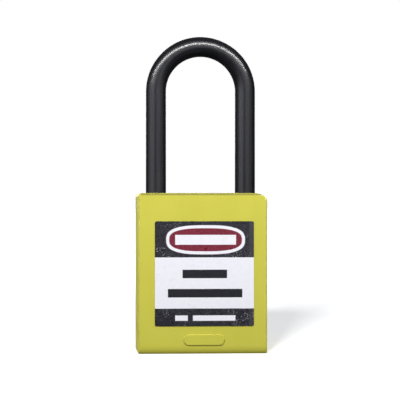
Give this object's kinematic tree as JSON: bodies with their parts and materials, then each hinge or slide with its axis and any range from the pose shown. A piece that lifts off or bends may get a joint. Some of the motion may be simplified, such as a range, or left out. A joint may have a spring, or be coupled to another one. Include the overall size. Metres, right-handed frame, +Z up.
{
  "type": "safety padlock",
  "caption": "Compact padlock with a moulded block body, a tall round bar shackle with a half-round crown, a keyed cylinder in its base and a printed front label.",
  "frame": {"origin": "middle of the flat base of the body", "axes": "+X across the front face towards the toe leg, +Y from the front face to the back, +Z up along the shackle legs"},
  "size_m": [0.038, 0.0203, 0.0938],
  "materials": {
    "body_plastic": "moulded nylon body, yellow-green, fine grain, satin",
    "cover_plastic": "moulded black nylon cover",
    "shackle_plastic": "smooth near-black nylon bar, satin",
    "label_film": "printed vinyl film with dark, white and red fields",
    "chassis_metal": "die-cast, grey",
    "screw_steel": "zinc-plated steel",
    "spring_steel": "drawn spring steel wire",
    "hard_steel": "ground steel",
    "lock_brass": "machined brass"
  },
  "bodies": {
    "case": {"body_shell": "body_plastic", "bottom_cover": "cover_plastic", "label": "label_film", "chassis_front": "chassis_metal", "chassis_rear": "chassis_metal", "chassis_screws": "screw_steel", "cover_screw": "screw_steel", "heel_pin": "hard_steel", "spring_seat": "hard_steel", "shackle_spring": "spring_steel", "cylinder_body": "lock_brass", "chamber_cover": "lock_brass", "pin_spring_1": "spring_steel", "pin_spring_2": "spring_steel", "pin_spring_3": "spring_steel", "pin_spring_4": "spring_steel", "pin_spring_5": "spring_steel", "pin_spring_6": "spring_steel"},
    "shackle": {"shackle": "shackle_plastic"},
    "plug": {"cylinder_plug": "lock_brass", "plug_clip": "spring_steel", "rotor": "hard_steel", "drive_pin": "hard_steel"},
    "bolt": {"locking_bolt": "hard_steel"},
    "key_pin_1": {"key_pin_1": "lock_brass"},
    "driver_pin_1": {"driver_pin_1": "lock_brass"},
    "key_pin_2": {"key_pin_2": "lock_brass"},
    "driver_pin_2": {"driver_pin_2": "lock_brass"},
    "key_pin_3": {"key_pin_3": "lock_brass"},
    "driver_pin_3": {"driver_pin_3": "lock_brass"},
    "key_pin_4": {"key_pin_4": "lock_brass"},
    "driver_pin_4": {"driver_pin_4": "lock_brass"},
    "key_pin_5": {"key_pin_5": "lock_brass"},
    "driver_pin_5": {"driver_pin_5": "lock_brass"},
    "key_pin_6": {"key_pin_6": "lock_brass"},
    "driver_pin_6": {"driver_pin_6": "lock_brass"}
  },
  "joints": [
    {"name": "shackle_lift", "type": "slide", "parent": "case", "child": "shackle", "axis": [0, 0, 1], "range_m": [0, 0.0142], "deforming": ["shackle_spring"]},
    {"name": "plug_turn", "type": "hinge", "parent": "case", "child": "plug", "pos_m": [0, -0.0023, 0], "axis": [0, 0, -1], "range_deg": [0, 90]},
    {"name": "bolt_slide", "type": "slide", "parent": "case", "child": "bolt", "axis": [1, 0, 0], "range_m": [0, 0.0024]},
    {"name": "key_pin_1_slide", "type": "slide", "parent": "plug", "child": "key_pin_1", "axis": [1, 0, 0], "range_m": [0, 0.0016]},
    {"name": "driver_pin_1_slide", "type": "slide", "parent": "case", "child": "driver_pin_1", "axis": [0, 1, 0], "range_m": [0, 0.0012], "stiffness_N_per_m": 40, "springref_m": -0.001, "deforming": ["pin_spring_1"]},
    {"name": "key_pin_2_slide", "type": "slide", "parent": "plug", "child": "key_pin_2", "axis": [1, 0, 0], "range_m": [0, 0.001]},
    {"name": "driver_pin_2_slide", "type": "slide", "parent": "case", "child": "driver_pin_2", "axis": [0, 1, 0], "range_m": [0, 0.0012], "stiffness_N_per_m": 40, "springref_m": -0.001, "deforming": ["pin_spring_2"]},
    {"name": "key_pin_3_slide", "type": "slide", "parent": "plug", "child": "key_pin_3", "axis": [1, 0, 0], "range_m": [0, 0.0013]},
    {"name": "driver_pin_3_slide", "type": "slide", "parent": "case", "child": "driver_pin_3", "axis": [0, 1, 0], "range_m": [0, 0.0012], "stiffness_N_per_m": 40, "springref_m": -0.001, "deforming": ["pin_spring_3"]},
    {"name": "key_pin_4_slide", "type": "slide", "parent": "plug", "child": "key_pin_4", "axis": [1, 0, 0], "range_m": [0, 0.0007]},
    {"name": "driver_pin_4_slide", "type": "slide", "parent": "case", "child": "driver_pin_4", "axis": [0, 1, 0], "range_m": [0, 0.0012], "stiffness_N_per_m": 40, "springref_m": -0.001, "deforming": ["pin_spring_4"]},
    {"name": "key_pin_5_slide", "type": "slide", "parent": "plug", "child": "key_pin_5", "axis": [1, 0, 0], "range_m": [0, 0.0015]},
    {"name": "driver_pin_5_slide", "type": "slide", "parent": "case", "child": "driver_pin_5", "axis": [0, 1, 0], "range_m": [0, 0.0012], "stiffness_N_per_m": 40, "springref_m": -0.001, "deforming": ["pin_spring_5"]},
    {"name": "key_pin_6_slide", "type": "slide", "parent": "plug", "child": "key_pin_6", "axis": [1, 0, 0], "range_m": [0, 0.0009]},
    {"name": "driver_pin_6_slide", "type": "slide", "parent": "case", "child": "driver_pin_6", "axis": [0, 1, 0], "range_m": [0, 0.0012], "stiffness_N_per_m": 40, "springref_m": -0.001, "deforming": ["pin_spring_6"]}
  ],
  "couplings": [
    {"joint": "plug_turn", "follows": "bolt_slide", "rad_per_m": 654.5}
  ]
}
